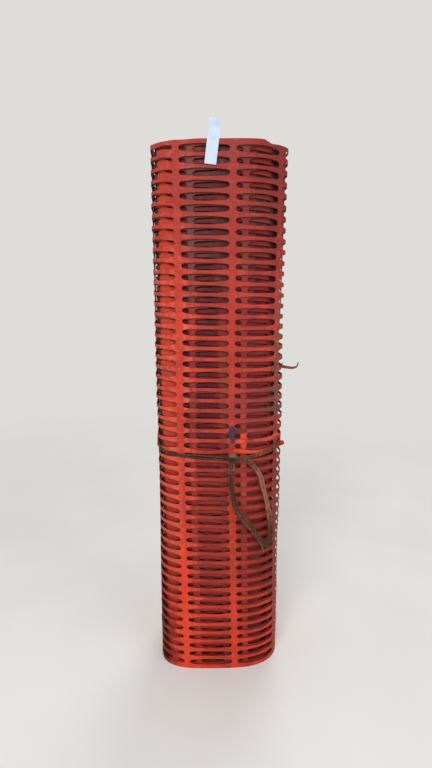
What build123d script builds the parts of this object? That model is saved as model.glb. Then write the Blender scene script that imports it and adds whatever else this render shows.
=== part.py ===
# Roll of orange plastic snow fence, standing on its end and tied round with twine.
# Millimetres. The origin is on the axis of the bore, at the floor. +Z is up and the front faces -Y.

import os
from math import copysign, cos, radians, sin, tan

from build123d import *

# The fence sheet and how it is wound
fence_height = 1219.2
sheet_thickness = 1.5
strand_width = 7.2
turns = 24
bore_radius = 48.0

# The roll's section: it lay on its front in storage, so the front is pressed flat and the back is round
half_width = 150.5
front_depth = 100.0
back_depth = 170.0
front_left_squareness = 3.6
front_right_squareness = 2.6
back_squareness = 2.2
facets_per_turn = 18
free_edge_angle = 102.0

# The waist that the twine pulls in, as shares of the section above
bottom_swell = 0.993
waist_swell = 0.973
top_swell = 1.0
waist_half_height = 62.0

# How deep the gaps between the turns are cut into each end
end_gap_depth = 16.0

# A strand that tore loose beside a band at the right and springs away from the roll
torn_height = 748.8
torn_clearance = 0.3
torn_lay = 22.0
torn_bend_radius = 30.0
torn_bend = 55.0
torn_tail = 35.0
torn_facet = 12

# The twine
twine_diameter = 4.2
twine_clearance = 0.3
strand_sides = 6
tie_strands = 2
tie_height = 588.0
tie_tilt = 16.0
knot_x = 27.0
knot_length = 14.0
knot_diameter = 13.0
knot_fillet = 4.0

# The paper slip on the front, just below and above the top edge
tag_width = 24.0
tag_length = 87.0
tag_thickness = 0.3
tag_clearance = 0.3
tag_rise = 37.0
tag_x = -15.0
tag_lean = 7.0


def outline_point(angle):
    """Point on the outermost turn's section. The front half is flatter and shallower than the back."""
    across = cos(radians(angle))
    along = sin(radians(angle))
    widest_y = (front_depth - back_depth) / 2
    depth = back_depth
    squareness = back_squareness
    if along < 0:
        depth = front_depth
        squareness = front_left_squareness if across < 0 else front_right_squareness
    x = half_width * copysign(abs(across) ** (2 / squareness), across)
    y = widest_y + depth * copysign(abs(along) ** (2 / squareness), along)
    return Vector(x, y)


def spiral_point(step, sink=0.0, swell=1.0):
    """Point on the sheet's outer face after a number of facets from the free edge, or sunk below it."""
    angle = free_edge_angle + 360.0 * step / facets_per_turn
    inward = step / facets_per_turn / turns
    bore_point = Vector(cos(radians(angle)), sin(radians(angle))) * (bore_radius + sheet_thickness)
    point = (outline_point(angle) * (1 - inward) + bore_point * inward) * swell
    point -= point.normalized() * sink
    return (point.X, point.Y)


def swell_at(level):
    """The section's share of its full size at a height."""
    for (low, low_swell), (high, high_swell) in zip(section_levels, section_levels[1:]):
        if level <= high:
            return low_swell + (high_swell - low_swell) * (level - low) / (high - low)
    return top_swell


def front_face(swell):
    """Y of the flat front of the roll, where it stands furthest out."""
    return min(spiral_point(step, 0.0, swell)[1] for step in range(facets_per_turn + 1))


# The wound fence
section_levels = [
    (0.0, bottom_swell),
    (tie_height - waist_half_height, waist_swell),
    (tie_height + waist_half_height, waist_swell),
    (fence_height, top_swell),
]
gap_steps = (turns - 1) * facets_per_turn

with BuildPart() as fence_roll:
    for level, swell in section_levels:
        with BuildSketch(Plane.XY.offset(level)):
            with BuildLine():
                Polyline([spiral_point(step, 0.0, swell) for step in range(facets_per_turn + 1)], close=True)
            make_face()
    loft(ruled=True)
    for level, swell in ((0.0, bottom_swell), (fence_height - end_gap_depth, top_swell)):
        with BuildSketch(Plane.XY.offset(level)):
            with BuildLine():
                outside = [spiral_point(step, sheet_thickness, swell) for step in range(gap_steps + 1)]
                inside = [spiral_point(step + facets_per_turn, 0.0, swell) for step in range(gap_steps + 1)]
                Polyline(outside + inside[::-1], close=True)
            make_face()
        extrude(amount=end_gap_depth, mode=Mode.SUBTRACT)
    Hole(bore_radius)
fence_roll.part.label = "fence_roll"

# The torn strand lies along the roll up to the corner of its facet, then bends out and runs straight
corner = Vector(*spiral_point(torn_facet, 0.0, swell_at(torn_height)))
along = (corner - Vector(*spiral_point(torn_facet + 1, 0.0, swell_at(torn_height)))).normalized()
outward = along.rotate(Axis.Z, 90)
torn_start = corner - along * torn_lay + outward * (torn_clearance + sheet_thickness / 2)

with BuildPart() as torn_strand:
    with BuildSketch(Plane.XY.offset(torn_height - strand_width / 2)):
        with BuildLine() as torn_line:
            Line(torn_start, torn_start + along * torn_lay)
            JernArc(torn_line.line @ 1, along, torn_bend_radius, torn_bend)
            Line(torn_line.line @ 1, torn_line.line @ 1 + (torn_line.line % 1) * torn_tail)
        trace(line_width=sheet_thickness)
    extrude(amount=strand_width)
torn_strand.part.label = "torn_strand"

# The twine pulled tight round the waist, with its knot at the front
tie_plane = Plane(
    origin=(0, 0, tie_height),
    x_dir=(1, 0, 0),
    z_dir=(0, -sin(radians(tie_tilt)), cos(radians(tie_tilt))),
)
tie_half_height = twine_diameter * tie_strands / 2
waist_points = [spiral_point(step, 0.0, waist_swell) for step in range(facets_per_turn + 1)]
knot_y = front_face(waist_swell) - twine_clearance - knot_diameter / 2
knot_z = tie_height + knot_y * tan(radians(tie_tilt))

with BuildPart() as twine_tie:
    with BuildSketch(Plane.XY.offset(tie_height - waist_half_height)):
        with BuildLine():
            Polyline(waist_points, close=True)
        make_face()
        offset(amount=twine_clearance + twine_diameter, kind=Kind.INTERSECTION)
        with BuildLine():
            Polyline(waist_points, close=True)
            offset(amount=twine_clearance, kind=Kind.INTERSECTION, mode=Mode.REPLACE)
        make_face(mode=Mode.SUBTRACT)
    extrude(amount=2 * waist_half_height)
    split(bisect_by=tie_plane.offset(-tie_half_height), keep=Keep.TOP)
    split(bisect_by=tie_plane.offset(tie_half_height), keep=Keep.BOTTOM)
    with BuildSketch(Plane(origin=(knot_x, knot_y, knot_z), x_dir=(1, 0, 0), z_dir=(0, -1, 0))):
        RectangleRounded(knot_length, knot_diameter, knot_fillet)
        split(bisect_by=Plane.XZ)
    revolve(axis=Axis((knot_x, knot_y, knot_z), (1, 0, 0)))
twine_tie.part.label = "twine_tie"


def twine_strand(route):
    """A loose strand of twine: straight runs joined by arcs as large as the runs allow."""
    corners = [Vector(*point) for point in route]
    radii = []
    for before, corner, after in zip(corners, corners[1:], corners[2:]):
        turn = (corner - before).get_angle(after - corner)
        shorter_run = min((corner - before).length, (after - corner).length)
        radii.append(0.45 * shorter_run / tan(radians(turn) / 2))
    print("strand radii", [round(radius) for radius in radii])
    with BuildPart() as strand:
        with BuildLine() as path:
            FilletPolyline(*corners, radius=radii)
        with BuildSketch(Plane(origin=path.line @ 0, z_dir=path.line % 0)):
            RegularPolygon(twine_diameter / 2, strand_sides)
        sweep()
    print("strand length", round(path.wire().length), "volume", round(strand.part.volume))
    return strand


# The loose end hangs from the knot, and the bow's two strands hang from it and go back up to the tie
outer_bow_route = [
    (22.5, -136.1, 542.2), (20, -136.5, 517), (23, -136, 489), (25, -135.5, 463), (31, -136, 436),
    (44, -135, 410), (61, -132.5, 387), (78, -129, 363), (92, -125, 341), (103, -119, 324),
    (112, -114, 319), (121, -108.5, 329), (124, -105, 350), (121.5, -108.5, 375), (118, -110.5, 402),
    (114, -113, 428), (107.5, -116, 454), (101, -120.5, 481), (95.5, -123.5, 503), (85, -128, 523),
    (70, -131, 538), (60, -128.5, 545),
]
inner_bow_route = [
    (27, -136.1, 542.2), (25.5, -137, 514), (28.5, -136.5, 488), (30.5, -136, 465), (36.5, -136, 439),
    (48.5, -135, 414.5), (65, -132, 391.5), (82, -128.5, 367.5), (95, -124, 347), (104.5, -119, 332),
    (111, -115.5, 329), (117, -112.5, 336), (118.7, -111, 351), (116, -112.5, 377), (113, -114.5, 402),
    (109, -116.5, 427), (102.5, -119.5, 453), (95.5, -124, 479), (90.5, -126.5, 501), (81, -129.5, 519),
    (67, -132, 532.5), (54, -129.5, 544.5),
]
loose_end_route = [
    (31.5, -136.1, 542.2), (30, -141, 518), (27, -142.5, 491), (27, -142, 463), (33, -142.5, 436),
    (45, -141.5, 411), (62, -139, 388), (78, -135.5, 366), (92, -131, 343), (101, -127, 324),
    (103, -125.5, 309),
]
twine_bow_outer = twine_strand(outer_bow_route)
twine_bow_outer.part.label = "twine_bow_outer"
twine_bow_inner = twine_strand(inner_bow_route)
twine_bow_inner.part.label = "twine_bow_inner"
twine_loose_end = twine_strand(loose_end_route)
twine_loose_end.part.label = "twine_loose_end"

# The paper slip, flat against the front and standing above the top edge
tag_plane = Plane(
    origin=(tag_x, front_face(top_swell) - tag_clearance, fence_height + tag_rise - tag_length / 2),
    x_dir=(cos(radians(tag_lean)), 0, -sin(radians(tag_lean))),
    z_dir=(0, -1, 0),
)
with BuildPart() as paper_tag:
    with BuildSketch(tag_plane):
        Rectangle(tag_width, tag_length)
    extrude(amount=tag_thickness)
paper_tag.part.label = "paper_tag"

parts = {
    "fence_roll": fence_roll,
    "torn_strand": torn_strand,
    "twine_tie": twine_tie,
    "twine_bow_outer": twine_bow_outer,
    "twine_bow_inner": twine_bow_inner,
    "twine_loose_end": twine_loose_end,
    "paper_tag": paper_tag,
}
os.makedirs("parts", exist_ok=True)
for name, piece in parts.items():
    export_step(piece.part, f"parts/{name}.step")
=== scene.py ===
import math
from contextlib import contextmanager

import bmesh
import bpy
import numpy as np
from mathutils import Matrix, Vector


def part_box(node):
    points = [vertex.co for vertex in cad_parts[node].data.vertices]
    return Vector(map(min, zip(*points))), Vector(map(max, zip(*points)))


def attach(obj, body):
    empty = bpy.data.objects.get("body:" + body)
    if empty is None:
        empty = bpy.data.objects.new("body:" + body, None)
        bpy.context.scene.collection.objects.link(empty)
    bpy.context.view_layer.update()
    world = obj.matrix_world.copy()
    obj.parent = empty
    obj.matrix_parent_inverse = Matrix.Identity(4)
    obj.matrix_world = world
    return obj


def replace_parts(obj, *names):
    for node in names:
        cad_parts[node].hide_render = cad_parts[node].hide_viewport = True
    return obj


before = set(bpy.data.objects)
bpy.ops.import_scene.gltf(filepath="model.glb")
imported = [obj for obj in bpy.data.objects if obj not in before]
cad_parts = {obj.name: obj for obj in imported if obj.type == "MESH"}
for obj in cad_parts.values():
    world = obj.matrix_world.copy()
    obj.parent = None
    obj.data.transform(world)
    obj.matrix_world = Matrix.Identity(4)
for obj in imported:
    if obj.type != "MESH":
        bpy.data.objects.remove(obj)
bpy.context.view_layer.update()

mm = 0.001

# The fence sheet, as it comes off the extruder
fence_height = 1219.2 * mm
sheet_thickness = 1.5 * mm
panel_pitch = 117.0 * mm
strand_pitch = 23.2 * mm
strand_count = 51
selvage_height = 18.0 * mm
slot_end_radius = 5.5 * mm
slot_end_offset = 46.4 * mm
slot_swell = 2.5 * mm
slot_swell_power = 0.8
edge_chamfer = 0.45 * mm

# The roll: the section of its outermost turn, its bore, and the dent that the twine makes
turns = 24
bore_radius = 48.0 * mm
half_width = 150.5 * mm
front_depth = 100.0 * mm
back_depth = 170.0 * mm
front_left_squareness = 3.6
front_right_squareness = 2.6
back_squareness = 2.2
free_edge_angle = 102.0
bottom_swell = 0.993
waist_swell = 0.973
top_swell = 1.0
waist_reach = 30.0 * mm
full_above_floor = 100.0 * mm
full_below_top = 120.0 * mm

# How the sheet lies along its spiral: its bands lean and bow, and two stretches of it slipped
band_lean = 12.0 * mm
band_bow = 5.0 * mm
band_shift = 2.5 * mm
back_slip = 5.0 * mm
back_slip_stretch = (1.55, 2.05)
corner_slip = 11.0 * mm
corner_slip_stretch = (2.09, 2.20)

# The twine
twine_diameter = 4.2 * mm
ply_count = 3
ply_sides = 7
ply_radius = 1.16 * mm
ply_offset = 1.06 * mm
ply_ring_spacing = 1.6 * mm
twist_pitch = 17.0 * mm
tie_height = 588.0 * mm
tie_tilt = math.radians(16.0)
fibre_sides = 5
fibre_ring_spacing = 3.0 * mm
fibre_lift = 1.5 * mm
fibre_hold = 0.3
fibre_swing = 3.0
fibre_noise = {"scale": 24.0, "more": 4.0, "detail": 1.5, "seed step": 7.3}

# The camera, solved from the spacing of the slot rows
photo_size = (432, 768)
focal_pixels = 490.0
camera_place = (-0.0087, -1.188, 0.926)
camera_pitch = math.radians(11.14)


# Small helpers

def smooth(low, high, value):
    """Smooth step from 0 at low to 1 at high."""
    share = np.clip((value - low) / (high - low), 0.0, 1.0)
    return share * share * (3 - 2 * share)


def bell(value, centre, reach):
    """A smooth bump, 1 at its centre and about a third at its reach."""
    return np.exp(-(((value - centre) / reach) ** 2))


def link(piece):
    bpy.context.scene.collection.objects.link(piece)
    return piece


def mesh_piece(name, vertices, faces, edges=()):
    mesh = bpy.data.meshes.new(name)
    mesh.from_pydata([tuple(v) for v in vertices], list(edges), list(faces))
    return link(bpy.data.objects.new(name, mesh))


def line_piece(name, points, closed=False):
    """A piece that is nothing but a line of edges."""
    edges = [(i, i + 1) for i in range(len(points) - 1)]
    if closed:
        edges.append((len(points) - 1, 0))
    return mesh_piece(name, points, [], edges)


def remove(piece):
    mesh = piece.data
    bpy.data.objects.remove(piece)
    bpy.data.meshes.remove(mesh)


def evaluated_mesh(piece):
    depsgraph = bpy.context.evaluated_depsgraph_get()
    return bpy.data.meshes.new_from_object(piece.evaluated_get(depsgraph), depsgraph=depsgraph)


@contextmanager
def editing(mesh):
    bm = bmesh.new()
    bm.from_mesh(mesh)
    yield bm
    bm.to_mesh(mesh)
    bm.free()


def set_points(mesh, points):
    mesh.vertices.foreach_set("co", points.reshape(-1))
    mesh.update()


def get_vectors(mesh, name="position"):
    values = np.empty(len(mesh.vertices) * 3)
    mesh.attributes[name].data.foreach_get("vector", values)
    return values.reshape(-1, 3)


def set_number(mesh, name, values):
    attribute = mesh.attributes.new(name, "FLOAT", "POINT")
    attribute.data.foreach_set("value", values)


def shade_smooth(mesh, sharp_degrees):
    mesh.polygons.foreach_set("use_smooth", [True] * len(mesh.polygons))
    mesh.set_sharp_from_angle(angle=math.radians(sharp_degrees))


# Node trees

class Nodes:
    """A node tree, with short calls for the nodes that geometry and materials share."""

    def __init__(self, tree):
        self.tree = tree

    def node(self, kind, inputs=None, **settings):
        """A node with its settings, and with its inputs wired or set by name or by number."""
        made = self.tree.nodes.new(kind)
        for setting, value in settings.items():
            setattr(made, setting, value)
        for place, value in (inputs or {}).items():
            if isinstance(value, bpy.types.NodeSocket):
                self.tree.links.new(value, made.inputs[place])
            else:
                made.inputs[place].default_value = value
        return made

    def math(self, operation, *values):
        return self.node("ShaderNodeMath", dict(enumerate(values)), operation=operation).outputs[0]

    def plus(self, total, *values):
        for value in values:
            total = self.math("ADD", total, value)
        return total

    def times(self, product, *values):
        for value in values:
            product = self.math("MULTIPLY", product, value)
        return product

    def less(self, value, taken):
        return self.math("SUBTRACT", value, taken)

    def over(self, value, divisor):
        return self.math("DIVIDE", value, divisor)

    def rest(self, share):
        """What a share leaves of 1."""
        return self.math("SUBTRACT", 1.0, share)

    def step(self, value, low, high):
        """Smooth step of a value from 0 to 1."""
        inputs = {"Value": value, "From Min": low, "From Max": high}
        return self.node("ShaderNodeMapRange", inputs, interpolation_type="SMOOTHSTEP").outputs[0]

    def between(self, value, low, risen, falling, high):
        """A share that rises from low to risen and falls again from falling to high."""
        return self.times(self.step(value, low, risen), self.rest(self.step(value, falling, high)))

    def vector(self, operation, *values):
        return self.node("ShaderNodeVectorMath", dict(enumerate(values)), operation=operation).outputs[0]

    def scaled(self, vector, scale):
        inputs = {0: vector, "Scale": scale}
        return self.node("ShaderNodeVectorMath", inputs, operation="SCALE").outputs[0]

    def length(self, vector):
        return self.node("ShaderNodeVectorMath", {0: vector}, operation="LENGTH").outputs["Value"]


class Tree(Nodes):
    """A Geometry Nodes tree with named inputs, put on a piece and turned into a plain mesh."""

    def __init__(self, name):
        super().__init__(bpy.data.node_groups.new(name, "GeometryNodeTree"))
        self.tree.interface.new_socket("Geometry", in_out="INPUT", socket_type="NodeSocketGeometry")
        self.tree.interface.new_socket("Geometry", in_out="OUTPUT", socket_type="NodeSocketGeometry")
        self.source = self.tree.nodes.new("NodeGroupInput")
        self.result = self.tree.nodes.new("NodeGroupOutput")
        self.values = {}

    def input(self, name, value):
        """A named input of the tree, of its value's kind. The value is set on the modifier later."""
        kind = type(value).__name__.capitalize()
        item = self.tree.interface.new_socket(name, in_out="INPUT", socket_type=f"NodeSocket{kind}")
        self.values[item.identifier] = value
        return self.source.outputs[name]

    def source_line(self):
        """The piece's own edges as a curve."""
        return self.node("GeometryNodeMeshToCurve", {"Mesh": self.source.outputs["Geometry"]}).outputs[0]

    def even_line(self, spacing):
        """The piece's own edges as a curve with evenly spaced points."""
        inputs = {"Curve": self.source_line(), "Length": spacing}
        return self.node("GeometryNodeResampleCurve", inputs, mode="LENGTH").outputs[0]

    def circle(self, sides, radius):
        inputs = {"Resolution": sides, "Radius": radius}
        return self.node("GeometryNodeCurvePrimitiveCircle", inputs).outputs[0]

    def tube(self, curve, profile):
        inputs = {"Curve": curve, "Profile Curve": profile, "Fill Caps": True}
        return self.node("GeometryNodeCurveToMesh", inputs).outputs[0]

    def moved(self, geometry, offset):
        return self.node("GeometryNodeSetPosition", {"Geometry": geometry, "Offset": offset}).outputs[0]

    def combine(self, x, y, z):
        return self.node("ShaderNodeCombineXYZ", {0: x, 1: y, 2: z}).outputs[0]

    def joined(self, geometries):
        join = self.node("GeometryNodeJoinGeometry")
        for geometry in geometries:
            self.tree.links.new(geometry, join.inputs[0])
        return join.outputs[0]

    def end(self, geometry, material):
        """The last nodes of every tree: real meshes with their material."""
        real = self.node("GeometryNodeRealizeInstances", {"Geometry": geometry})
        done = self.node("GeometryNodeSetMaterial", {"Geometry": real.outputs[0], "Material": material})
        self.tree.links.new(done.outputs[0], self.result.inputs[0])

    def make(self, piece, name):
        """Runs the tree on the piece and gives its result as a plain mesh object."""
        modifier = piece.modifiers.new(self.tree.name, "NODES")
        modifier.node_group = self.tree
        for identifier, value in self.values.items():
            modifier[identifier] = value
        mesh = evaluated_mesh(piece)
        piece.modifiers.remove(modifier)
        remove(piece)
        mesh.name = name
        return link(bpy.data.objects.new(name, mesh))


class Finish(Nodes):
    """A procedural material, with short calls for the nodes that its pattern needs."""

    def __init__(self, name, colour, roughness, shine=0.5):
        self.material = bpy.data.materials.new(name)
        self.material.use_nodes = True
        super().__init__(self.material.node_tree)
        self.shader = self.tree.nodes["Principled BSDF"]
        self.shader.inputs["Roughness"].default_value = roughness
        self.shader.inputs["Specular IOR Level"].default_value = shine
        self.place = self.node("ShaderNodeTexCoord").outputs["Object"]
        self.colour = colour

    def attribute(self, name):
        return self.node("ShaderNodeAttribute", attribute_name=name)

    def noise(self, scale, detail=4.0, roughness=0.5, place=None, stretch=None):
        """Noise between about 0.3 and 0.7, its scale in cycles a metre."""
        place = place or self.place
        if stretch:
            place = self.vector("MULTIPLY", place, stretch)
        inputs = {"Vector": place, "Scale": scale, "Detail": detail, "Roughness": roughness}
        return self.node("ShaderNodeTexNoise", inputs).outputs[0]

    def mix(self, share, first, second):
        """A blend of two colours, each a node's output or its red, green and blue from 0 to 255."""
        first, second = (rgb(*c) if isinstance(c, tuple) else c for c in (first, second))
        return self.node("ShaderNodeMix", {0: share, 6: first, 7: second}, data_type="RGBA").outputs[2]

    def coat(self, paint, *shares):
        """Lays paint over the colour so far, as strong as the product of the shares."""
        self.colour = self.mix(self.times(*shares), self.colour, paint)

    def spot(self, far, noise, raggedness, inner, outer):
        """A ragged spot: 1 in its middle and 0 past its edge, from how far off its middle a place is."""
        torn = self.plus(far, self.times(self.less(noise, 0.5), raggedness))
        return self.rest(self.step(torn, inner, outer))

    def bump(self, height, strength, distance):
        made = self.node("ShaderNodeBump", {"Height": height, "Strength": strength, "Distance": distance})
        self.tree.links.new(made.outputs[0], self.shader.inputs["Normal"])

    def end(self):
        """Wires the colour and gives the finished material."""
        self.tree.links.new(self.colour, self.shader.inputs["Base Color"])
        return self.material


def rgb(red, green, blue):
    """A colour as it shows on a screen, from 0 to 255, as the linear colour that the shader takes."""
    def linear(value):
        value /= 255
        return value / 12.92 if value <= 0.04045 else ((value + 0.055) / 1.055) ** 2.4
    return (linear(red), linear(green), linear(blue), 1.0)


# Materials

# Ragged stains and bright places, with a painted highlight and a painted shade among them: where each is
# along the sheet and up it, how far it reaches each way, in millimetres, its strength and its colour. Two of
# the outer turn's bands show at the front, and one of the second turn's bands shows through the slots between
# them.
panel = panel_pitch / mm
left_band = 3 * panel
right_band = 4 * panel
inner_band = 11 * panel
stains_and_painted_light = [
    ((inner_band, 1060), (12, 190), 0.6, (94, 68, 60)),
    ((inner_band + panel, 592), (10, 24), 0.85, (236, 76, 38)),
    ((inner_band + panel, 664), (8, 30), 0.35, (226, 78, 44)),
    ((inner_band + panel, 505), (9, 70), 0.5, (200, 70, 62)),
    ((left_band, 180), (14, 190), 0.6, (236, 70, 34)),
    ((left_band, 1110), (14, 140), 0.3, (140, 44, 38)),
    ((right_band, 290), (10, 60), 0.4, (132, 50, 36)),
    ((right_band, 860), (12, 480), 0.3, (118, 38, 33)),
    ((300, 220), (42, 260), 0.15, (140, 38, 30)),
    ((278, 60), (42, 130), 0.8, (96, 30, 28)),
    # Painted highlight: a paler, pinker sheen on the left flank's strands
    ((318, 440), (34, 210), 0.4, (236, 96, 72)),
    ((376, 1010), (20, 150), 0.35, (140, 48, 40)),
    ((384, 650), (20, 60), 0.5, (124, 48, 40)),
    ((552, 270), (26, 70), 0.5, (96, 28, 24)),
    # Painted shade: darker towards the right edge near the top
    ((585, 1140), (70, 170), 0.45, (112, 38, 36)),
    ((585, 330), (20, 440), 0.7, (104, 42, 38)),
    ((530, 650), (64, 85), 0.7, (142, 56, 56)),
    ((505, 564), (40, 7), 0.8, (230, 78, 40)),
    ((560, 592), (50, 7), 0.8, (226, 76, 44)),
    ((620, 770), (50, 170), 0.5, (104, 78, 66)),
    ((560, 690), (45, 16), 0.55, (88, 74, 62)),
    ((575, 655), (40, 12), 0.55, (82, 70, 60)),
    ((452, 740), (10, 95), 0.5, (134, 66, 34)),
    ((470, 603), (14, 22), 0.95, (62, 47, 59)),
    ((490, 586), (13, 6), 0.8, (238, 80, 54)),
    ((488, 610), (16, 7), 0.7, (84, 46, 54)),
]


def make_fence_plastic():
    """Orange polyethylene: its bands still bright, its strands dull with dirt and a painted sheen, and the
    turns inside dustier and darker with painted shade, but for painted light at the left.

    Heights and places along the sheet are in metres, and turns are counted from the free edge."""
    f = Finish("fence_plastic", (220, 60, 27), 0.58, 0.22)
    sheet_place = f.attribute("flat").outputs["Vector"]
    flat = f.node("ShaderNodeSeparateXYZ", {0: sheet_place})
    along, height = flat.outputs[0], flat.outputs[1]
    turn = f.attribute("turn").outputs["Fac"]
    fine = f.noise(260, 4, 0.6)
    small = f.noise(75, 4, 0.6)
    broad = f.noise(17, 4, 0.55)
    streaks = f.noise(1.0, 5, 0.65, sheet_place, (34.0, 330.0, 1.0))

    # The plain sheet: duller with height, then blotched, scuffed and streaked
    for pattern, low, high, strength, paint in (
        (height, 0.10, 0.26, 1.0, (188, 54, 33)),
        (height, 0.50, 0.75, 1.0, (200, 62, 43)),
        (height, 0.85, 1.20, 1.0, (172, 58, 49)),
        (broad, 0.44, 0.66, 0.55, (164, 45, 36)),
        (small, 0.52, 0.70, 0.45, (214, 90, 74)),
        (streaks, 0.52, 0.68, 0.35, (224, 104, 78)),
        (streaks, 0.48, 0.34, 0.35, (142, 40, 32)),
    ):
        f.coat(paint, f.step(pattern, low, high), strength)

    # Strands carry more dirt than bands, on the panels that faced up while the roll lay in storage
    across = f.math("FRACT", f.over(along, panel_pitch))
    from_middle = f.math("ABSOLUTE", f.less(across, 0.5))
    strand = f.rest(f.step(from_middle, 0.39, 0.45))
    faced_up = f.between(along, 0.355, 0.40, 0.64, 0.72)
    low_down = f.rest(f.step(height, 0.35, 0.75))
    grime = f.mix(low_down, (140, 54, 48), (122, 42, 35))
    patchy = f.plus(0.2, f.times(f.step(broad, 0.38, 0.60), 0.45), f.times(low_down, 0.35))
    off_floor = f.plus(0.35, f.times(f.step(height, 0.12, 0.42), 0.65))
    f.coat(grime, strand, faced_up, patchy, off_floor)
    f.coat((138, 40, 37), faced_up, f.step(height, 0.85, 1.12), 0.35)

    # Painted highlight: the strands beside the front left corner are painted paler and pinker, a sheen that
    # is weaker near the top
    painted_sheen = f.times(f.between(along, 0.26, 0.30, 0.375, 0.40), strand, f.step(small, 0.38, 0.62))
    less_at_top = f.less(0.45, f.times(f.step(height, 0.9, 1.1), 0.35))
    sheen_colour = f.mix(f.step(height, 0.40, 0.55), (224, 92, 66), (228, 108, 88))
    f.coat(sheen_colour, painted_sheen, less_at_top)

    # Painted shade and dust on the second and third turns, seen through the slots: darker, but for painted
    # light on the places at the left that light reaches
    second_left = f.rest(f.step(turn, 1.385, 1.41))
    third_left = f.between(turn, 2.308, 2.314, 2.36, 2.41)
    lit_share = f.times(f.plus(second_left, third_left), 0.8)
    shaded_and_dusty = f.times(f.step(turn, 0.97, 1.03), f.less(0.9, lit_share))
    shade_and_dust_colour = f.mix(f.step(broad, 0.40, 0.60), (150, 45, 39), (114, 33, 33))
    shade_and_dust_colour = f.mix(f.step(height, 0.85, 1.05), shade_and_dust_colour, (112, 42, 42))
    f.coat(shade_and_dust_colour, shaded_and_dusty)
    # The third turn and those inside it: painted shade with dust, darker high up, and their bands darker
    # still at the top
    third = f.mix(f.step(height, 0.42, 0.66), (158, 46, 40), (82, 22, 27))
    third = f.mix(f.step(turn, 2.47, 2.58), third, (150, 46, 42))
    third_bands = f.mix(f.step(height, 0.84, 0.95), (132, 42, 37), (66, 20, 20))
    third = f.mix(strand, third_bands, third)
    f.coat(third, f.step(turn, 1.9, 2.1), f.less(0.95, f.times(third_left, 0.9)))
    # Painted light: the third turn painted brighter at the left, where light reaches it
    lit_colour_at_left = f.mix(f.step(height, 0.18, 0.40), (168, 48, 32), (172, 52, 36))
    lit_colour_at_left = f.mix(f.step(height, 0.50, 0.75), lit_colour_at_left, (214, 76, 50))
    f.coat(lit_colour_at_left, third_left, 0.7)

    # Places that lie in the dark: behind the corners, and at the slots' right ends
    behind_corner = f.plus(f.between(turn, 1.16, 1.19, 1.30, 1.33), f.between(turn, 2.10, 2.11, 2.302, 2.312))
    f.coat((44, 14, 16), behind_corner, 0.85)
    slot_ends = f.times(f.between(turn, 1.615, 1.623, 1.652, 1.66), f.between(height, 0.48, 0.56, 0.87, 0.95))
    f.coat((60, 18, 18), slot_ends, 0.6)
    f.coat((158, 46, 42), f.step(f.noise(34, 5, 0.65), 0.50, 0.62), shaded_and_dusty, 0.5)
    # Painted shade: the turns deep inside are darkened, less so along their top and bottom edges
    end_edge = f.math("MAXIMUM", f.step(height, 1.204, 1.212), f.step(height, 0.014, 0.007))
    deep = f.times(f.step(turn, 2.8, 4.5), f.less(0.8, f.times(end_edge, 0.7)))
    f.coat((48, 18, 20), deep)

    # Dust in patches all over, and more of it inside near the top
    dust = f.mix(f.step(fine, 0.35, 0.65), (78, 62, 54), (118, 98, 86))
    f.coat(dust, f.step(f.noise(24, 6, 0.62), 0.56, 0.72), 0.35)
    dusty_top = f.plus(0.1, f.times(f.step(height, 0.85, 1.1), 0.14))
    f.coat(dust, shaded_and_dusty, f.step(f.noise(15, 4, 0.6), 0.46, 0.60), dusty_top)

    for (mark_along, mark_height), (reach_along, reach_up), strength, paint in stains_and_painted_light:
        beside = f.over(f.less(along, mark_along * mm), reach_along * mm)
        above = f.over(f.less(height, mark_height * mm), reach_up * mm)
        far = f.math("SQRT", f.plus(f.times(beside, beside), f.times(above, above)))
        f.coat(paint, f.spot(far, small, 1.8, 0.7, 1.2), strength)
    f.bump(fine, 0.25, 0.3 * mm)
    return f.end()


# Damp, dark and rubbed places of the twine: centre and reach in metres, strength and colour
twine_blots = [
    ((0.027, -0.137, 0.468), (0.035, 0.06, 0.044), 0.75, (66, 56, 42)),
    ((0.105, -0.118, 0.460), (0.035, 0.06, 0.080), 0.60, (186, 128, 104)),
    ((0.118, -0.110, 0.345), (0.020, 0.06, 0.042), 0.70, (80, 64, 46)),
    ((0.028, -0.140, 0.549), (0.018, 0.03, 0.012), 0.60, (72, 56, 44)),
    ((0.028, -0.140, 0.559), (0.012, 0.03, 0.007), 0.70, (140, 124, 106)),
    ((-0.06, -0.130, 0.552), (0.085, 0.09, 0.030), 0.70, (66, 56, 44)),
]


def make_twine_fibre():
    """Loose brown jute, dark and greenish where it stayed damp, tan where it rubs."""
    f = Finish("twine_fibre", (76, 48, 38), 0.9, 0.12)
    strands = f.noise(420, 3, 0.6, stretch=(1.0, 1.0, 0.35))
    ragged = f.noise(60, 4, 0.6)
    f.coat((140, 94, 78), f.step(strands, 0.36, 0.64))
    for centre, reach, strength, paint in twine_blots:
        far = f.length(f.vector("DIVIDE", f.vector("SUBTRACT", f.place, centre), reach))
        f.coat(paint, f.spot(far, ragged, 2.2, 0.75, 1.15), strength)
    f.bump(strands, 0.5, 0.4 * mm)
    return f.end()


def make_slip_paper():
    """White paper that went slightly blue-grey outdoors."""
    f = Finish("slip_paper", (200, 214, 234), 0.8)
    f.coat((186, 200, 221), f.step(f.noise(60, 4), 0.35, 0.7))
    return f.end()


fence_plastic = make_fence_plastic()
twine_fibre = make_twine_fibre()
slip_paper = make_slip_paper()


# The camera

def make_camera():
    camera = bpy.data.cameras.new("camera")
    camera.sensor_width = 36.0
    camera.lens = focal_pixels / photo_size[1] * camera.sensor_width
    camera.clip_start = 0.01
    piece = link(bpy.data.objects.new("camera", camera))
    piece.location = camera_place
    piece.rotation_euler = (math.pi / 2 - camera_pitch, 0, 0)
    bpy.context.scene.camera = piece


make_camera()


# The loose twine: the routes of its strands, in millimetres

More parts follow.
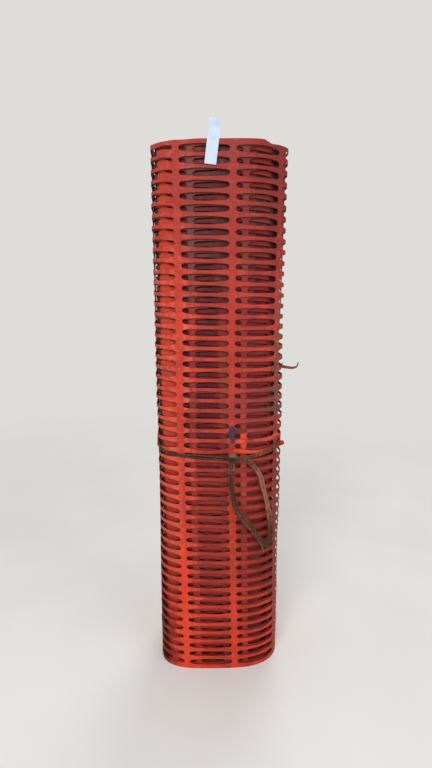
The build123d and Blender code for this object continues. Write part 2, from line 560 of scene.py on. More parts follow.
outer_bow_route = [
    (22.5, -136.1, 542.2), (20, -136.5, 517), (23, -136, 489), (25, -135.5, 463), (31, -136, 436),
    (44, -135, 410), (61, -132.5, 387), (78, -129, 363), (92, -125, 341), (103, -119, 324),
    (112, -114, 319), (121, -108.5, 329), (124, -105, 350), (121.5, -108.5, 375), (118, -110.5, 402),
    (114, -113, 428), (107.5, -116, 454), (101, -120.5, 481), (95.5, -123.5, 503), (85, -128, 523),
    (70, -131, 538), (60, -128.5, 545),
]
inner_bow_route = [
    (27, -136.1, 542.2), (25.5, -137, 514), (28.5, -136.5, 488), (30.5, -136, 465), (36.5, -136, 439),
    (48.5, -135, 414.5), (65, -132, 391.5), (82, -128.5, 367.5), (95, -124, 347), (104.5, -119, 332),
    (111, -115.5, 329), (117, -112.5, 336), (118.7, -111, 351), (116, -112.5, 377), (113, -114.5, 402),
    (109, -116.5, 427), (102.5, -119.5, 453), (95.5, -124, 479), (90.5, -126.5, 501), (81, -129.5, 519),
    (67, -132, 532.5), (54, -129.5, 544.5),
]
loose_end_route = [
    (31.5, -136.1, 542.2), (30, -141, 518), (27, -142.5, 491), (27, -142, 463), (33, -142.5, 436),
    (45, -141.5, 411), (62, -139, 388), (78, -135.5, 366), (92, -131, 343), (101, -127, 324),
    (103, -125.5, 309),
]


def smooth_line(route, closed=False):
    """The points of a smooth NURBS line along a route in millimetres, in metres."""
    curve = bpy.data.curves.new("route", "CURVE")
    curve.dimensions = "3D"
    curve.resolution_u = 12
    spline = curve.splines.new("NURBS")
    spline.points.add(len(route) - 1)
    for point, place in zip(spline.points, route):
        point.co = (place[0] * mm, place[1] * mm, place[2] * mm, 1.0)
    spline.order_u = 3
    spline.use_endpoint_u = not closed
    spline.use_cyclic_u = closed
    piece = link(bpy.data.objects.new("route", curve))
    mesh = evaluated_mesh(piece)
    points = get_vectors(mesh)
    bpy.data.objects.remove(piece)
    bpy.data.meshes.remove(mesh)
    return points


def make_rope(name, points, closed=False):
    """Three plies twisted together along a line."""
    t = Tree("twisted_twine")
    offset = t.input("Ply offset", ply_offset)
    radius = t.input("Ply radius", ply_radius)
    pitch = t.input("Twist pitch", twist_pitch)
    spacing = t.input("Ring spacing", ply_ring_spacing)
    sides = t.input("Ply sides", ply_sides)
    material = t.input("Material", twine_fibre)

    line = t.even_line(spacing)
    along = t.node("GeometryNodeSplineParameter").outputs["Length"]
    normal = t.node("GeometryNodeInputNormal").outputs[0]
    tangent = t.node("GeometryNodeInputTangent").outputs[0]
    across = t.vector("CROSS_PRODUCT", tangent, normal)
    twist = t.times(t.over(along, pitch), 2 * math.pi)
    profile = t.circle(sides, radius)
    plies = []
    for ply in range(ply_count):
        angle = t.plus(twist, ply * 2 * math.pi / ply_count)
        side = t.scaled(normal, t.times(t.math("COSINE", angle), offset))
        up = t.scaled(across, t.times(t.math("SINE", angle), offset))
        plies.append(t.tube(t.moved(line, t.vector("ADD", side, up)), profile))
    t.end(t.joined(plies), material)
    rope = t.make(line_piece(name, points, closed), name)
    shade_smooth(rope.data, 60)
    return rope


def make_fibres(name, points, bundles, seed):
    """Yarns and fibres that worked loose from the twine and wander beside it.

    Each bundle is how many there are, how thick they are and how far they stray."""
    t = Tree("loose_fibres")
    spacing = t.input("Ring spacing", fibre_ring_spacing)
    lift = t.input("Lift", fibre_lift)
    first_seed = t.input("Seed", float(seed))
    material = t.input("Material", twine_fibre)

    line = t.even_line(spacing)
    place = t.node("GeometryNodeInputPosition").outputs[0]
    share = t.node("GeometryNodeSplineParameter").outputs["Factor"]
    held = t.math("POWER", t.math("SINE", t.times(share, math.pi)), fibre_hold)
    outward = t.vector("NORMALIZE", t.vector("MULTIPLY", place, (1.0, 1.0, 0.0)))
    lifted = t.scaled(outward, lift)
    tubes = []
    for bundle, (count, thickness, stray) in enumerate(bundles, 1):
        radius = t.input(f"Radius {bundle}", thickness / 2)
        distance = t.input(f"Stray distance {bundle}", stray)
        profile = t.circle(fibre_sides, radius)
        swing_size = t.times(held, t.times(distance, fibre_swing))
        for fibre in range(count):
            noise = t.node(
                "ShaderNodeTexNoise",
                {
                    "Vector": place,
                    "W": t.plus(first_seed, fibre_noise["seed step"] * (len(tubes) + 1)),
                    "Scale": fibre_noise["scale"] + fibre_noise["more"] * fibre,
                    "Detail": fibre_noise["detail"],
                },
                noise_dimensions="4D",
            )
            swing = t.vector("SUBTRACT", noise.outputs["Color"], (0.5, 0.5, 0.5))
            wander = t.vector("ADD", t.scaled(swing, swing_size), lifted)
            tubes.append(t.tube(t.moved(line, wander), profile))
    t.end(t.joined(tubes), material)
    fibres = t.make(line_piece(name, points), name)
    shade_smooth(fibres.data, 70)
    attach(fibres, "root")
    return fibres


cord_bundles = [(5, 1.9 * mm, 4.5 * mm), (7, 0.8 * mm, 7.5 * mm)]


def make_cord(node, route, seed):
    points = smooth_line(route)
    cord = make_rope(f"{node}_twine", points)
    fibres = make_fibres(f"{node}_fibres", points, cord_bundles, seed)
    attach(cord, "root")
    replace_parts(cord, node)


make_cord("twine_bow_outer", outer_bow_route, 11)
make_cord("twine_bow_inner", inner_bow_route, 12)
make_cord("twine_loose_end", loose_end_route, 13)


# The spiral that the sheet is wound on

spiral_lead = 12.0
spiral_step = 5.0


def outline_point(angle):
    """Point on the outermost turn's section, for an angle in radians."""
    across = math.cos(angle)
    along = math.sin(angle)
    depth = back_depth
    squareness = back_squareness
    if along < 0:
        depth = front_depth
        squareness = front_left_squareness if across < 0 else front_right_squareness
    x = half_width * math.copysign(abs(across) ** (2 / squareness), across)
    y = (front_depth - back_depth) / 2 + depth * math.copysign(abs(along) ** (2 / squareness), along)
    return Vector((x, y, 0))


def spiral_point(angle, sink):
    """Point of the wound sheet, an angle in degrees on from its free edge, sunk below its outer face."""
    turned = math.radians(free_edge_angle + angle)
    inward = angle / 360.0 / turns
    bore_point = Vector((math.cos(turned), math.sin(turned), 0)) * (bore_radius + sheet_thickness)
    point = outline_point(turned) * (1 - inward) + bore_point * inward
    return point - point.normalized() * sink


def spiral_line():
    """The middle of the sheet seen from above, with a short lead before its free edge and after its end."""
    steps = int((360 * turns + 2 * spiral_lead) / spiral_step)
    angles = [-spiral_lead + spiral_step * step for step in range(steps + 1)]
    points = [spiral_point(angle, sheet_thickness / 2) for angle in angles]
    lengths = np.cumsum([0.0] + [(b - a).length for a, b in zip(points, points[1:])])
    return angles, points, lengths


spiral_angles, spiral_points, spiral_lengths = spiral_line()
free_edge_length = float(np.interp(0.0, spiral_angles, spiral_lengths))


def turn_of(along):
    """How many turns in from the free edge a place along the sheet lies."""
    return np.interp(along + free_edge_length, spiral_lengths, spiral_angles) / 360.0


def panel_at(turn):
    """The panel that starts nearest to a number of turns from the free edge."""
    length = float(np.interp(turn * 360.0, spiral_angles, spiral_lengths)) - free_edge_length
    return round(length / panel_pitch)


# The mesh of the sheet

def slot_side(centre, side, inset, steps):
    """The edge of a row of slots: its points above (side 1) or below (side -1) the slots' centre line."""
    radius = slot_end_radius + inset
    half = [(panel_pitch / 2, 0.0), (slot_end_offset + radius, 0.0)]
    half.append((slot_end_offset + radius * math.sqrt(0.5), radius * math.sqrt(0.5)))
    points = []
    for step in range(steps + 1):
        x = slot_end_offset * (1 - 2 * step / steps)
        bulge = max(0.0, math.cos(math.pi / 2 * x / slot_end_offset)) ** slot_swell_power
        points.append((x, radius + slot_swell * bulge))
    outline = half + points + [(-x, y) for x, y in reversed(half)]
    return [(x, centre + side * y) for x, y in reversed(outline)]


def straight_side(height, side, inset, steps):
    """The sheet's straight outer edge, at the same places along it as a slot's points."""
    return [(x, height + side * inset) for x, _ in slot_side(0.0, 1, 0.0, steps)]


def make_cell(name, low, high, steps, chamfer):
    """A strand between two rows of slots, or a selvage, one panel long, lying in the X-Y plane.

    low and high are each the kind of its lower and upper side and that side's height."""
    makers = {"slot": slot_side, "edge": straight_side}
    half = sheet_thickness / 2
    layers = [(chamfer, half), (0.0, 0.0), (chamfer, -half)] if chamfer else [(0.0, half), (0.0, -half)]
    vertices = []
    for inset, z in layers:
        for (kind, height), side in ((low, 1), (high, -1)):
            vertices += [(x, y, z) for x, y in makers[kind](height, side, inset, steps)]
    columns = len(vertices) // (2 * len(layers))

    def face(*corners):
        return [(2 * layer + row) * columns + column for layer, row, column in corners]

    last = len(layers) - 1
    faces = []
    for i in range(columns - 1):
        j = i + 1
        faces.append(face((0, 0, i), (0, 0, j), (0, 1, j), (0, 1, i)))
        faces.append(face((last, 0, i), (last, 1, i), (last, 1, j), (last, 0, j)))
        beside_slot = 1 <= i <= columns - 3
        for layer in range(last):
            under = layer + 1
            if low[0] == "edge" or beside_slot:
                faces.append(face((layer, 0, j), (layer, 0, i), (under, 0, i), (under, 0, j)))
            if high[0] == "edge" or beside_slot:
                faces.append(face((layer, 1, i), (layer, 1, j), (under, 1, j), (under, 1, i)))
    piece = mesh_piece(name, vertices, faces)
    with editing(piece.data) as bm:
        bmesh.ops.delete(bm, geom=[v for v in bm.verts if not v.link_faces], context="VERTS")
    return piece


def make_sheet(name, first_panel, panels, steps, chamfer):
    """Some panels of the fence, wound on the spiral."""
    carrier = line_piece(name, spiral_points)
    half_pitch = strand_pitch / 2
    cells = {
        "strand": make_cell("strand", ("slot", -half_pitch), ("slot", half_pitch), steps, chamfer),
        "top selvage": make_cell("top", ("slot", 0.0), ("edge", selvage_height), steps, chamfer),
        "bottom selvage": make_cell("bottom", ("edge", -selvage_height), ("slot", 0.0), steps, chamfer),
    }
    t = Tree("wound_fence")
    pitch = t.input("Panel pitch", panel_pitch)
    rows = t.input("Strand pitch", strand_pitch)
    first = t.input("First panel", float(first_panel))
    columns = t.input("Panels", panels)
    strands = t.input("Strands", strand_count)
    height = t.input("Fence height", fence_height)
    selvage = t.input("Selvage height", selvage_height)
    start = t.input("Free edge", free_edge_length)
    lean = t.input("Band lean", band_lean)
    bow = t.input("Band bow", band_bow)
    shift = t.input("Band shift", band_shift)
    slips = [
        (t.input("Slip at the back", back_slip), back_slip_stretch),
        (t.input("Slip at the corner", corner_slip), corner_slip_stretch),
    ]
    material = t.input("Material", fence_plastic)
    shapes = {cell: t.input(cell, piece) for cell, piece in cells.items()}

    # The flat sheet, from its cells
    def laid(points, cell):
        shape = t.node("GeometryNodeObjectInfo", {"Object": shapes[cell]}).outputs["Geometry"]
        return t.node("GeometryNodeInstanceOnPoints", {"Points": points, "Instance": shape}).outputs[0]

    start_x = t.times(t.plus(first, 0.5), pitch)
    step_x = t.combine(pitch, 0.0, 0.0)
    pieces = []
    for cell, level in (("top selvage", t.less(height, selvage)), ("bottom selvage", selvage)):
        inputs = {"Count": columns, "Start Location": t.combine(start_x, level, 0.0), "Offset": step_x}
        pieces.append(laid(t.node("GeometryNodeMeshLine", inputs).outputs[0], cell))
    size_x = t.times(t.less(columns, 1.0), pitch)
    size_y = t.times(t.less(strands, 1.0), rows)
    inputs = {"Size X": size_x, "Size Y": size_y, "Vertices X": columns, "Vertices Y": strands}
    grid = t.node("GeometryNodeMeshGrid", inputs).outputs[0]
    middle = t.combine(t.plus(start_x, t.times(size_x, 0.5)), t.times(height, 0.5), 0.0)
    pieces.append(laid(t.moved(grid, middle), "strand"))
    real = t.node("GeometryNodeRealizeInstances", {"Geometry": t.joined(pieces)}).outputs[0]
    merged = t.node("GeometryNodeMergeByDistance", {"Geometry": real, "Distance": 0.01 * mm}).outputs[0]
    flat = t.node("GeometryNodeInputPosition").outputs[0]
    kept = t.node(
        "GeometryNodeStoreNamedAttribute",
        {"Geometry": merged, "Name": "flat", "Value": flat},
        data_type="FLOAT_VECTOR",
        domain="POINT",
    ).outputs[0]

    # Each place goes to its length along the spiral, and its thickness outwards
    x, y, z = t.node("ShaderNodeSeparateXYZ", {0: flat}).outputs
    share = t.less(0.5, t.over(y, height))
    bowed = t.times(t.rest(t.times(share, share, 4.0)), bow)
    length = t.less(t.less(t.plus(x, t.times(share, lean)), bowed), shift)
    for slip, (low, high) in slips:
        length = t.plus(length, t.times(t.step(x, low, high), slip))
    inputs = {"Curves": t.source_line(), "Length": t.plus(length, start)}
    sample = t.node("GeometryNodeSampleCurve", inputs, mode="LENGTH")
    upright = (0.0, 0.0, 1.0)
    outward = t.vector("NORMALIZE", t.vector("CROSS_PRODUCT", sample.outputs["Tangent"], upright))
    raised = t.vector("ADD", t.scaled(outward, z), t.combine(0.0, 0.0, y))
    wound = t.vector("ADD", sample.outputs["Position"], raised)
    placed = t.node("GeometryNodeSetPosition", {"Geometry": kept, "Position": wound}).outputs[0]
    t.end(placed, material)
    sheet = t.make(carrier, name)
    for cell in cells.values():
        remove(cell)
    close_ends(sheet.data)
    return sheet


def close_ends(mesh):
    """Closes the two cut ends of a length of sheet with narrow faces."""
    near_end = 0.05 * mm
    near_middle = 0.1 * mm
    with editing(mesh) as bm:
        flat = bm.verts.layers.float_vector["flat"]
        places = [v[flat][0] for v in bm.verts]
        for end, turned in ((min(places), False), (max(places), True)):
            close = [v for v in bm.verts if abs(v[flat][0] - end) < near_end]
            close.sort(key=lambda v: v[flat][1])
            front = [v for v in close if v[flat][2] > near_middle]
            middle = [v for v in close if abs(v[flat][2]) <= near_middle]
            back = [v for v in close if v[flat][2] < -near_middle]
            faces = [[f1, f2, b2, b1] for f1, f2, b1, b2 in zip(front, front[1:], back, back[1:])]
            if middle:
                faces.append([middle[0], front[0], back[0]])
                faces.append([front[-1], middle[-1], back[-1]])
            for face in faces:
                bm.faces.new(face if not turned else face[::-1])


def cut_strand(mesh, panel, strand, start, end):
    """Takes out a length of one strand and closes the two stubs."""
    level = selvage_height + (strand + 0.5) * strand_pitch
    with editing(mesh) as bm:
        flat = bm.verts.layers.float_vector["flat"]

        def gone(face):
            places = [v[flat] for v in face.verts]
            beside = all(start <= place[0] / panel_pitch - panel <= end for place in places)
            return beside and all(abs(place[1] - level) < strand_pitch / 2 for place in places)

        bmesh.ops.delete(bm, geom=[face for face in bm.faces if gone(face)], context="FACES")
        bmesh.ops.holes_fill(bm, edges=[edge for edge in bm.edges if edge.is_boundary], sides=12)


# The shape that the roll took

# How far the rows of each turn sit above even, by turns from the free edge: at the top and at the bottom of
# the roll, in millimetres. The sheet crept as it was wound, so its rows only line up in places.
row_creep = [
    (0.0, 0.0, 0.0), (1.0, 0.0, 0.0), (1.06, 6.0, 6.0), (1.16, 6.0, 6.0), (1.24, -2.5, -2.0),
    (1.40, -2.5, -2.0), (1.45, -2.0, -1.5), (1.52, -2.0, -1.5), (1.62, 4.0, 3.0), (1.75, 7.0, 5.0),
    (2.0, 0.0, 0.0), (2.12, -15.5, -1.4), (2.24, -15.5, -1.4), (2.29, -15.5, -12.4), (2.37, -15.5, -12.4),
    (2.40, -15.0, -13.0), (2.43, -14.0, -13.0), (2.47, -13.0, -8.0), (2.50, -9.0, -8.0), (2.64, -7.0, -8.0),
    (2.80, -12.0, -8.0), (3.1, -5.6, 0.0), (3.34, -5.6, 0.0), (3.45, -16.0, -16.0), (3.75, -16.0, -16.0),
    (4.1, -8.0, 0.0), (4.5, 8.0, 5.0), (5.4, -7.0, -7.0), (6.3, 6.0, 4.0), (7.5, -8.0, -5.0),
    (8.4, 5.0, 5.0), (9.6, -4.0, -4.0), (10.7, 7.0, 7.0), (12.0, -5.0, -5.0), (14.0, 4.0, 4.0),
    (16.0, -4.0, -4.0), (18.0, 5.0, 5.0), (20.0, -3.0, -3.0), (22.0, 4.0, 4.0), (24.0, 0.0, 0.0),
]
# Where a stretch of rows sits higher or lower again: turn, its reach, height, its reach, and how far, in
# millimetres. A turn's reach is a share of a turn, and a height and its reach are in metres.
local_creep = [
    (0.325, 0.035, 1.219, 0.070, -4.0),
    (1.69, 0.05, 1.219, 0.12, -6.0),
    (1.69, 0.05, 1.02, 0.24, -12.0),
    (1.69, 0.05, 0.15, 0.25, -13.0),
]
# How far the turns crowd outwards at the left, by turns from the free edge, in millimetres
crowding = [
    (0.3, 0.0), (1.2, 1.6), (2.2, 3.3), (3.2, 5.0), (4.2, 6.6), (5.2, 8.0), (8.0, 7.0), (10.0, 5.0),
    (14.0, 0.0),
]
# How much the top edge is trimmed, in millimetres, by the share of a turn from the free edge
edge_trim = [
    (0.0, 0.0), (0.25, -1.0), (0.28, 1.2), (0.33, 0.5), (0.35, 2.0), (0.38, 3.7), (0.41, 3.0), (0.425, 3.4),
    (0.46, 0.8), (0.50, -0.5), (0.555, -2.2), (0.572, -2.2), (0.597, 4.6), (0.633, 2.8), (0.68, 2.5),
    (0.74, 4.0), (0.85, 1.0), (1.0, 0.0),
]
# In what follows, turns are counted from the free edge, heights and places across the roll are in metres,
# and a pair is where a share begins and where it is full, or the middle and the reach of a bump.

# The strands' own looseness, from seeded draws for more panels and strands than there are
slack_seed = 5
slack_draws = (2, 160, 60)
strand_sag = 0.8 * mm
strand_bow = 0.45 * mm
inner_bow_share = 0.4
# How the rows fall to the right, less of it above some height, and where they stay put
row_slope = 0.018
slope_full = 0.25
slope_less = 0.9
slope_lost = 0.6
floor_hold = 80.0 * mm
top_hold = 60.0 * mm
# The trimmed top edge
trimmed_turns = (0.5, 5.0)
trim_depth = 1.0 * mm
# What the twine does to the sheet under it
tie_drag = 3.5 * mm
tie_drag_rise = 10.0 * mm
tie_drag_reach = 18.0 * mm
tie_drag_front = -0.06
tie_pinch = 1.2 * mm
tie_pinch_reach = 12.0 * mm
pinched_turns = (1.2, 1.8)
# A slow ripple of the whole sheet
ripple_depth = 0.5 * mm
ripples_a_turn = 3
ripple_height = 97.0 * mm
ripple_drift = 0.3
ripple_phases = (1.3, 0.4)
# Past its last band at the right the sheet bulges: the outer turn high up, and the second turn at the top
right_bulge = 5.0 * mm
right_band_turn = 0.632
panel_share = 0.126
least_slack = 0.15
slack_heights = (0.28, 0.44)
second_turns = (1.95, 2.3)
second_heights = (0.80, 0.92)
second_share = 0.9
# The crease at the front left corner, and where the turns crowd outwards beside it
corner_crease = 2.0 * mm
corner_crease_reach = 30.0 * mm
left_from = (0.08, 0.18)
left_to = (0.32, 0.41)
crowd_more = 0.4
crowd_more_at = (0.70, 0.15)
# Where the whole roll leaves the section sideways
right_trim = 4.5 * mm
right_side = (0.03, 0.14)
right_trim_heights = (0.62, 0.92)
left_bulge = 3.0 * mm
left_side = (0.03, 0.13)
left_bulge_at = (0.72, 0.20)
corner_shift = 4.2 * mm
corner_shift_across = (-0.084, 0.035)
corner_shift_at = (0.90, 0.22)


def swell_at(height):
    """The section's share of its full size at a height: the twine draws the waist in."""
    to_waist = smooth(full_above_floor, tie_height - waist_reach, height)
    to_top = smooth(tie_height + waist_reach, fence_height - full_below_top, height)
    return bottom_swell + (waist_swell - bottom_swell) * to_waist + (top_swell - waist_swell) * to_top


def creep_at(turn, height):
    """How far the rows sit above even, in metres."""
    creep_turns, top_creep, bottom_creep = zip(*row_creep)
    share = height / fence_height
    crept = np.interp(turn, creep_turns, top_creep) * share
    crept += np.interp(turn, creep_turns, bottom_creep) * (1 - share)
    for at_turn, turn_reach, at_height, height_reach, amount in local_creep:
        crept += amount * bell(turn, at_turn, turn_reach) * bell(height, at_height, height_reach)
    return crept * mm


def strand_slack(along, height, outermost):
    """How near the middle of its strand a place is, and how far the strand sags and bows out there."""
    panel = np.floor(along / panel_pitch + 1e-6).astype(int)
    strand = np.rint((height - selvage_height) / strand_pitch - 0.5).astype(int)
    middle = np.sin(math.pi * np.clip(along / panel_pitch - panel, 0, 1)) ** 2
    draws = np.random.RandomState(slack_seed).normal(size=slack_draws).clip(-2, 2)
    sag = draws[0][panel, strand] * middle * strand_sag
    bow = draws[1][panel, strand] * middle * strand_bow
    bow = outermost * (bow + np.abs(bow)) + (1 - outermost) * inner_bow_share * bow
    return middle, sag, bow


def shape_roll(sheet):
    """Takes the sheet from an even winding to the shape that the roll has."""
    mesh = sheet.data
    flat = get_vectors(mesh, "flat")
    points = get_vectors(mesh)
    along, height = flat[:, 0], flat[:, 1]
    x, y = points[:, 0].copy(), points[:, 1].copy()
    turn = turn_of(along)
    part = turn % 1.0
    outermost = 1 - smooth(0.98, 1.02, turn)
    middle, sag, bow = strand_slack(along, height, outermost)
    tie_at = tie_height + y * math.tan(tie_tilt)

    # Up and down
    above_floor = smooth(0.0, floor_hold, height)
    below_top = 1 - smooth(fence_height - top_hold, fence_height, height)
    crept = creep_at(turn, height)
    rise = crept * above_floor * np.where(crept > 0, below_top, 1.0)
    fall = row_slope * x * smooth(0.0, slope_full, height)
    fall *= 1 - slope_lost * smooth(slope_less, fence_height, height)
    near_tie = bell(height, tie_at + tie_drag_rise, tie_drag_reach) * (y < tie_drag_front) * outermost
    trim_places, trims = zip(*edge_trim)
    trim = np.interp(part, trim_places, trims) * mm * (1 - smooth(*trimmed_turns, turn))
    on_edge = height > fence_height - trim_depth
    points[:, 2] += sag * above_floor * below_top + rise - fall
    points[:, 2] -= trim * on_edge + tie_drag * near_tie * middle

    # In and out
    pinch = tie_pinch * bell(height, tie_at, tie_pinch_reach) * (1 - smooth(*pinched_turns, turn))
    wave_round = np.sin(2 * math.pi * ripples_a_turn * turn + ripple_phases[0])
    wave_up = np.sin(height / ripple_height + ripple_phases[1] + ripple_drift * turn)
    slack = outermost * (least_slack + (1 - least_slack) * smooth(*slack_heights, height))
    second = (1 - outermost) * (1 - smooth(*second_turns, turn)) * smooth(*second_heights, height)
    past_band = np.clip((part - right_band_turn) / panel_share, 0, 1)
    bulge = right_bulge * np.sin(math.pi * past_band) ** 2 * (slack + second_share * second)
    crease = corner_crease * bell(along, 3 * panel_pitch, corner_crease_reach) * outermost
    at_left = smooth(*left_from, part) * (1 - smooth(*left_to, part))
    crowded_turns, crowded = zip(*crowding)
    crowd = np.interp(turn, crowded_turns, crowded) * mm * at_left
    crowd *= 1 + crowd_more * bell(height, *crowd_more_at)
    outward = ripple_depth * wave_round * wave_up + bow + bulge + crease + crowd - pinch

    # Sideways, and the waist
    from_right = right_trim * smooth(*right_side, x) * smooth(*right_trim_heights, height)
    to_left = left_bulge * smooth(*left_side, -x) * bell(height, *left_bulge_at)
    to_right = corner_shift * bell(x, *corner_shift_across) * bell(height, *corner_shift_at) * (y < 0)
    larger = swell_at(height) + outward / np.maximum(np.hypot(x, y), 1e-6)
    points[:, 0] = x * larger - from_right - to_left + to_right
    points[:, 1] = y * larger
    set_points(mesh, points)
    set_number(mesh, "turn", turn)


# Each length of the fence: its first turn and its last, the steps along a slot's side, and its chamfer
fence_cuts = [
    ("fence_outer_turn", 0, 1, 10, edge_chamfer),
    ("fence_second_turn", 1, 2, 10, edge_chamfer),
    ("fence_third_turn", 2, 3, 8, edge_chamfer),
    ("fence_turns_4_to_7", 3, 7, 5, 0.0),
    ("fence_turns_8_to_12", 7, 12, 5, 0.0),
    ("fence_turns_13_to_17", 12, 17, 5, 0.0),
    ("fence_turns_18_to_24", 17, turns, 5, 0.0),
]
# The length of strand that tore out of the outer turn
torn_strand_row = 31
torn_panel = 5
torn_from = 0.16
torn_to = 0.46


def make_fence():
    for name, start, end, steps, chamfer in fence_cuts:
        first = panel_at(start)
        sheet = make_sheet(name, first, panel_at(end) - first, steps, chamfer)
        if name == "fence_outer_turn":
            cut_strand(sheet.data, torn_panel, torn_strand_row, torn_from, torn_to)
        shape_roll(sheet)
        shade_smooth(sheet.data, 30 if chamfer else 50)
        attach(sheet, "root")
        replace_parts(sheet, "fence_roll")


make_fence()


# The twine round the waist and its knot, in millimetres

tie_bite = 0.5
tie_droop = 6.0
tie_droop_place = 30.0
tie_droop_reach = 65.0
tie_gap_place = -35.0
tie_gap_reach = 25.0
upper_gap = 3.0
lower_gap = -1.0
knot_route = [
    (10, -134.5, 548), (19, -140, 554), (27, -145, 559), (35, -146, 553), (36, -143, 543), (29, -139, 538),
    (21, -139, 543), (21, -142, 552), (28, -146, 560), (36, -147, 556), (39, -144, 546), (34, -139, 539),
    (26, -139, 542), (27, -144, 553), (37, -142, 555), (46, -135, 548),
]
tie_bundles = [(4, 1.8 * mm, 2.4 * mm), (5, 0.8 * mm, 4.0 * mm)]
knot_bundles = [(5, 2.6 * mm, 5.0 * mm), (8, 1.0 * mm, 8.0 * mm)]


def tie_route(drop, gap):
    """Points of a strand round the roll in millimetres, on the tilted plane that the twine lies in."""
    points = []
    for angle in range(0, 360, 10):
        closing = float(smooth(320.0, 355.0, angle))
        point = spiral_point(angle, 0.0) * (1 - closing) + spiral_point(angle - 360.0, 0.0) * closing
        place = point * (waist_swell / mm)
        place += place.normalized() * (twine_diameter / 2 / mm - tie_bite)
        z = tie_height / mm + place.y * math.tan(tie_tilt) + drop
        if place.y < 0:
            z += gap * bell(place.x, tie_gap_place, tie_gap_reach)
            z -= tie_droop * bell(place.x, tie_droop_place, tie_droop_reach)
        points.append((place.x, place.y, z))
    return points


def make_tie():
    offset = twine_diameter / 2 / mm
    upper = smooth_line(tie_route(offset, upper_gap), True)
    lower = smooth_line(tie_route(-offset, lower_gap), True)
    knot = smooth_line(knot_route)
    ropes = [
        make_rope("twine_tie_upper", upper, True),
        make_rope("twine_tie_lower", lower, True),
        make_rope("twine_knot", knot),
    ]
    for rope in ropes:
        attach(rope, "root")
        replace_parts(rope, "twine_tie")
    half_turn = len(upper) // 2
    make_fibres("twine_tie_upper_fibres", np.roll(upper, half_turn, axis=0), tie_bundles, 31)
    make_fibres("twine_tie_lower_fibres", np.roll(lower, half_turn, axis=0), tie_bundles, 32)
    make_fibres("twine_knot_fibres", knot, knot_bundles, 33)


make_tie()


# The paper slip

slip_width = 24.0 * mm
slip_length = 87.0 * mm
slip_thickness = 0.25 * mm
slip_clearance = 2.6 * mm
slip_lean = math.radians(7.0)
slip_columns = 12
slip_rows = 40
slip_curl = 1.2 * mm
slip_wave = 0.8 * mm


def make_slip():
    low, high = [Vector(corner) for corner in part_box("paper_tag")]
    centre = Vector(((low.x + high.x) / 2, low.y - slip_clearance, (low.z + high.z) / 2))
    side = Vector((math.cos(slip_lean), 0, -math.sin(slip_lean)))
    up = Vector((math.sin(slip_lean), 0, math.cos(slip_lean)))
    vertices = []
    for row in range(slip_rows + 1):
        for column in range(slip_columns + 1):
            u = column / slip_columns - 0.5
            v = row / slip_rows - 0.5
            back = slip_curl * (2 * u) ** 2 * (0.4 + v) + slip_wave * math.sin(5 * v + 2 * u)
            vertices.append(centre + side * (u * slip_width) + up * (v * slip_length) + Vector((0, back, 0)))
    faces = []
    for row in range(slip_rows):
        for column in range(slip_columns):
            corner = row * (slip_columns + 1) + column
            faces.append([corner, corner + 1, corner + slip_columns + 2, corner + slip_columns + 1])
    slip = mesh_piece("paper_slip", vertices, faces)
    slip.data.materials.append(slip_paper)
    solid = slip.modifiers.new("thickness", "SOLIDIFY")
    solid.thickness = slip_thickness
    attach(slip, "root")
    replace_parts(slip, "paper_tag")


make_slip()


# Torn strands, in millimetres

torn_route = [
    (149.5, -32, 748.8), (148.5, -42, 748.8), (146, -54, 748.6), (142.5, -65, 748.2), (142.5, -73, 748),
    (149, -80, 747.6), (157, -85, 747), (165, -90, 747.2), (171, -94, 749), (175, -97, 753.5),
    (176, -98, 761),
]
stub_route = [(135, -62, 565), (138, -67, 565), (141, -74, 565), (146, -79, 566), (151, -80, 569)]
# The section of a strip, as shares of half its width and of half its thickness
strip_section = [(-1, 0), (-0.86, 1), (0.86, 1), (1, 0), (0.86, -1), (-0.86, -1)]
strip_thickness = 0.9 * sheet_thickness
# Where on the sheet the strips take their colour from
strip_panel = torn_panel + 0.3
strip_turn = 0.6


def make_strip(name, route, width, tip_width):
    """A torn length of one strand: flat, with soft edges, narrowing to a ragged tip."""
    points = [Vector(place) for place in smooth_line(route)]
    vertices = []
    for number, point in enumerate(points):
        before = points[max(number - 1, 0)]
        after = points[min(number + 1, len(points) - 1)]
        ahead = (after - before).normalized()
        side = Vector((ahead.y, -ahead.x, 0)).normalized()
        up = side.cross(ahead).normalized()
        if up.z <= 0:
            up = -up
        share = (number / (len(points) - 1)) ** 3
        half_width_here = (width * (1 - share) + tip_width * share) / 2
        for across, out in strip_section:
            vertices.append(point + up * (across * half_width_here) + side * (out * strip_thickness / 2))
    ring = len(strip_section)
    faces = [list(range(ring)), list(range(len(vertices) - ring, len(vertices)))[::-1]]
    for start in range(0, len(vertices) - ring, ring):
        for i in range(ring):
            j = (i + 1) % ring
            faces.append([start + i, start + ring + i, start + ring + j, start + j])
    strip = mesh_piece(name, vertices, faces)
    with editing(strip.data) as bm:
        bmesh.ops.recalc_face_normals(bm, faces=bm.faces)
    flat = strip.data.attributes.new("flat", "FLOAT_VECTOR", "POINT")
    place = (strip_panel * panel_pitch, points[0].z, 0.0)
    flat.data.foreach_set("vector", place * len(vertices))
    set_number(strip.data, "turn", [strip_turn] * len(vertices))
    strip.data.materials.append(fence_plastic)
    shade_smooth(strip.data, 40)
    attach(strip, "root")
    return strip


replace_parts(make_strip("torn_strand_strip", torn_route, 7.6 * mm, 2.4 * mm), "torn_strand")
make_strip("torn_stub", stub_route, 15.0 * mm, 9.0 * mm)


# The floor, the backdrop and the light

backdrop = (222, 221, 217)
floor_front = -6.0
floor_depth = 3.4
floor_half_width = 6.0
wall_height = 4.2
bend_radius = 1.2
bend_steps = 8
roll_middle = (0, 0, 0.6)


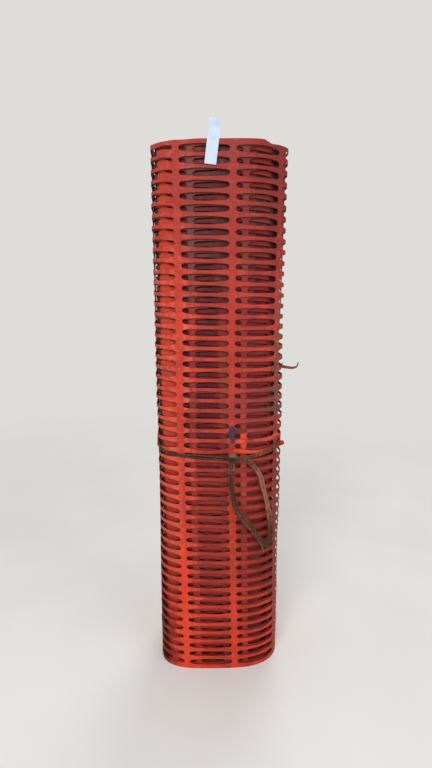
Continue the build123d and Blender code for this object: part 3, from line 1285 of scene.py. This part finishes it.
def make_stage():
    """A pale floor that bends up into a wall. Far from the roll the camera sees it as the plain backdrop."""
    profile = [(floor_front, 0.0), (floor_depth - bend_radius, 0.0)]
    for step in range(1, bend_steps + 1):
        angle = math.pi / 2 * step / bend_steps
        y = floor_depth - bend_radius * (1 - math.sin(angle))
        profile.append((y, bend_radius * (1 - math.cos(angle))))
    profile.append((floor_depth, wall_height))
    vertices = [(x, y, z) for x in (-floor_half_width, floor_half_width) for y, z in profile]
    count = len(profile)
    faces = [[i, count + i, count + i + 1, i + 1] for i in range(count - 1)]
    floor = mesh_piece("floor", vertices, faces)
    floor.data.polygons.foreach_set("use_smooth", [True] * len(floor.data.polygons))
    pale = Finish("pale_floor", (236, 235, 232), 0.9)
    pale.coat((232, 231, 228), pale.step(pale.noise(3, 2), 0.3, 0.7))
    seen = pale.node("ShaderNodeEmission", {"Color": rgb(*backdrop)})
    camera_ray = pale.node("ShaderNodeLightPath").outputs["Is Camera Ray"]
    share = pale.times(camera_ray, pale.step(pale.length(pale.place), 0.7, 3.0))
    mixed = pale.node("ShaderNodeMixShader", {0: share, 1: pale.shader.outputs[0], 2: seen.outputs[0]})
    pale.tree.links.new(mixed.outputs[0], pale.tree.nodes["Material Output"].inputs["Surface"])
    floor.data.materials.append(pale.end())


def make_lamp(name, place, size, power):
    lamp = bpy.data.lights.new(name, "AREA")
    lamp.size = size
    lamp.energy = power
    piece = link(bpy.data.objects.new(name, lamp))
    piece.location = place
    piece.rotation_euler = (Vector(roll_middle) - Vector(place)).to_track_quat("-Z", "Y").to_euler()


def make_room():
    """Soft light from all round, and a pale backdrop wherever the camera looks past the floor."""
    world = bpy.data.worlds.new("soft_room")
    world.use_nodes = True
    room = Nodes(world.node_tree)
    lit = room.tree.nodes["Background"]
    lit.inputs["Color"].default_value = (1, 1, 1, 1)
    lit.inputs["Strength"].default_value = 0.45
    seen = room.node("ShaderNodeBackground", {"Color": rgb(*backdrop), "Strength": 1.0})
    camera_ray = room.node("ShaderNodeLightPath").outputs["Is Camera Ray"]
    chosen = room.node("ShaderNodeMixShader", {0: camera_ray, 1: lit.outputs[0], 2: seen.outputs[0]})
    room.tree.links.new(chosen.outputs[0], room.tree.nodes["World Output"].inputs["Surface"])
    bpy.context.scene.world = world


make_stage()
make_lamp("key", (-0.6, -2.6, 2.6), 1.6, 58)
make_lamp("fill", (2.0, -2.0, 1.6), 1.8, 14)
make_lamp("back", (0.8, 2.6, 3.5), 1.6, 40)
make_room()
bpy.context.scene.view_settings.view_transform = "Standard"
